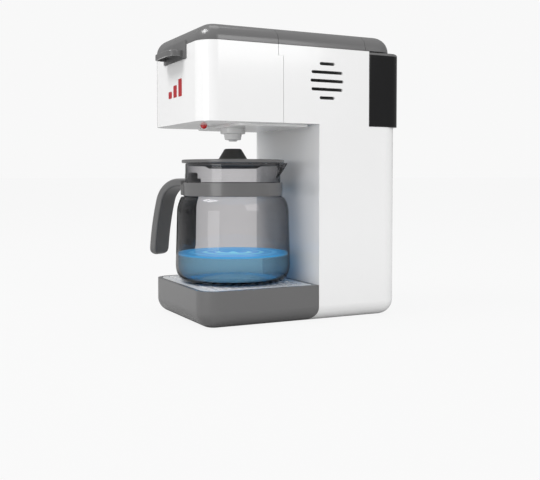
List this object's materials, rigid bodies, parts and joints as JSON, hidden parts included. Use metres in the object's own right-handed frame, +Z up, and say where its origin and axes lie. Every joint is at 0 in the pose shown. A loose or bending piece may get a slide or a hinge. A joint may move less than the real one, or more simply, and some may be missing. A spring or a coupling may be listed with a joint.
{
  "type": "toy coffee maker",
  "caption": "Toy drip coffee maker: white body and head, grey hinged lid, slide-off water tank, drip grid base and a lift-out smoky jug with lid and handle.",
  "frame": {"origin": "on the flat underside, below the middle of the white body", "axes": "+Z up, the front with the finger tab faces -Y, the loudspeaker side faces +X"},
  "size_m": [0.1414, 0.2065, 0.25],
  "materials": {
    "white_abs": "gloss",
    "grey_abs": "satin",
    "handle_grey": "satin",
    "dark_abs": "satin",
    "tank_smoke": "gloss",
    "jug_smoke": "clear",
    "red_lens": "gloss",
    "seal_rubber": "matt",
    "tube_clear": "gloss",
    "steel": "bright",
    "board_green": "satin",
    "cell_jacket": "satin",
    "cone_black": "matt",
    "mesh_white": "satin"
  },
  "bodies": {
    "machine": {"body_left_shell": "white_abs", "body_right_shell": "white_abs", "brew_head_front": "white_abs", "top_cover": "grey_abs", "button_spring": "steel", "switch_board": "board_green", "speaker": "cone_black", "circuit_board": "board_green", "tank_socket": "seal_rubber", "water_pump": "dark_abs", "inlet_tube": "tube_clear", "outlet_tube": "tube_clear", "outlet_plate": "white_abs", "nozzle": "white_abs", "led_lens": "red_lens", "led_lamp": "red_lens", "filter_deck": "grey_abs", "filter_basket": "dark_abs", "filter_mesh": "mesh_white", "front_base": "grey_abs", "drip_grid": "white_abs", "bottom_cover": "grey_abs", "battery_door": "grey_abs", "battery_door_screw": "steel", "batteries": "cell_jacket", "battery_contacts": "steel", "base_screws": "steel", "housing_screws": "steel", "switch_housing": "dark_abs", "front_lid_pin": "steel", "rear_flap_pin": "steel"},
    "front_lid": {"front_lid": "grey_abs"},
    "rear_flap": {"rear_flap": "grey_abs"},
    "water_tank": {"water_tank": "tank_smoke", "tank_rim": "grey_abs"},
    "start_button": {"start_button": "dark_abs"},
    "power_switch": {"power_switch": "dark_abs"},
    "jug": {"jug_glass": "jug_smoke", "jug_collar": "grey_abs", "jug_handle": "handle_grey", "handle_back_plate": "dark_abs", "handle_screws": "steel"},
    "jug_lid": {"jug_lid": "grey_abs", "lid_knob": "handle_grey", "lid_plug": "dark_abs"}
  },
  "joints": [
    {"name": "front_lid_hinge", "type": "hinge", "parent": "machine", "child": "front_lid", "pos_m": [0, -0.03015, 0.2475], "axis": [-1, 0, 0], "range_deg": [0, 75]},
    {"name": "rear_flap_hinge", "type": "hinge", "parent": "machine", "child": "rear_flap", "pos_m": [0, 0.06105, 0.2475], "axis": [1, 0, 0], "range_deg": [0, 75]},
    {"name": "tank_slide", "type": "slide", "parent": "machine", "child": "water_tank", "axis": [0, 1, 0], "range_m": [0, 0.06]},
    {"name": "start_button_press", "type": "slide", "parent": "machine", "child": "start_button", "axis": [0, 0, -1], "range_m": [0, 0.0015], "stiffness_N_per_m": 300, "springref_m": -0.0005, "deforming": ["button_spring"]},
    {"name": "power_switch_slide", "type": "slide", "parent": "machine", "child": "power_switch", "axis": [1, 0, 0], "range_m": [0, 0.004]},
    {"name": "jug_slide", "type": "slide", "parent": "machine", "child": "jug", "axis": [0, -1, 0], "range_m": [0, 0.12]},
    {"name": "jug_lid_turn", "type": "hinge", "parent": "jug", "child": "jug_lid", "pos_m": [0, -0.0415, 0.1372], "axis": [0, 0, 1], "continuous": true}
  ]
}
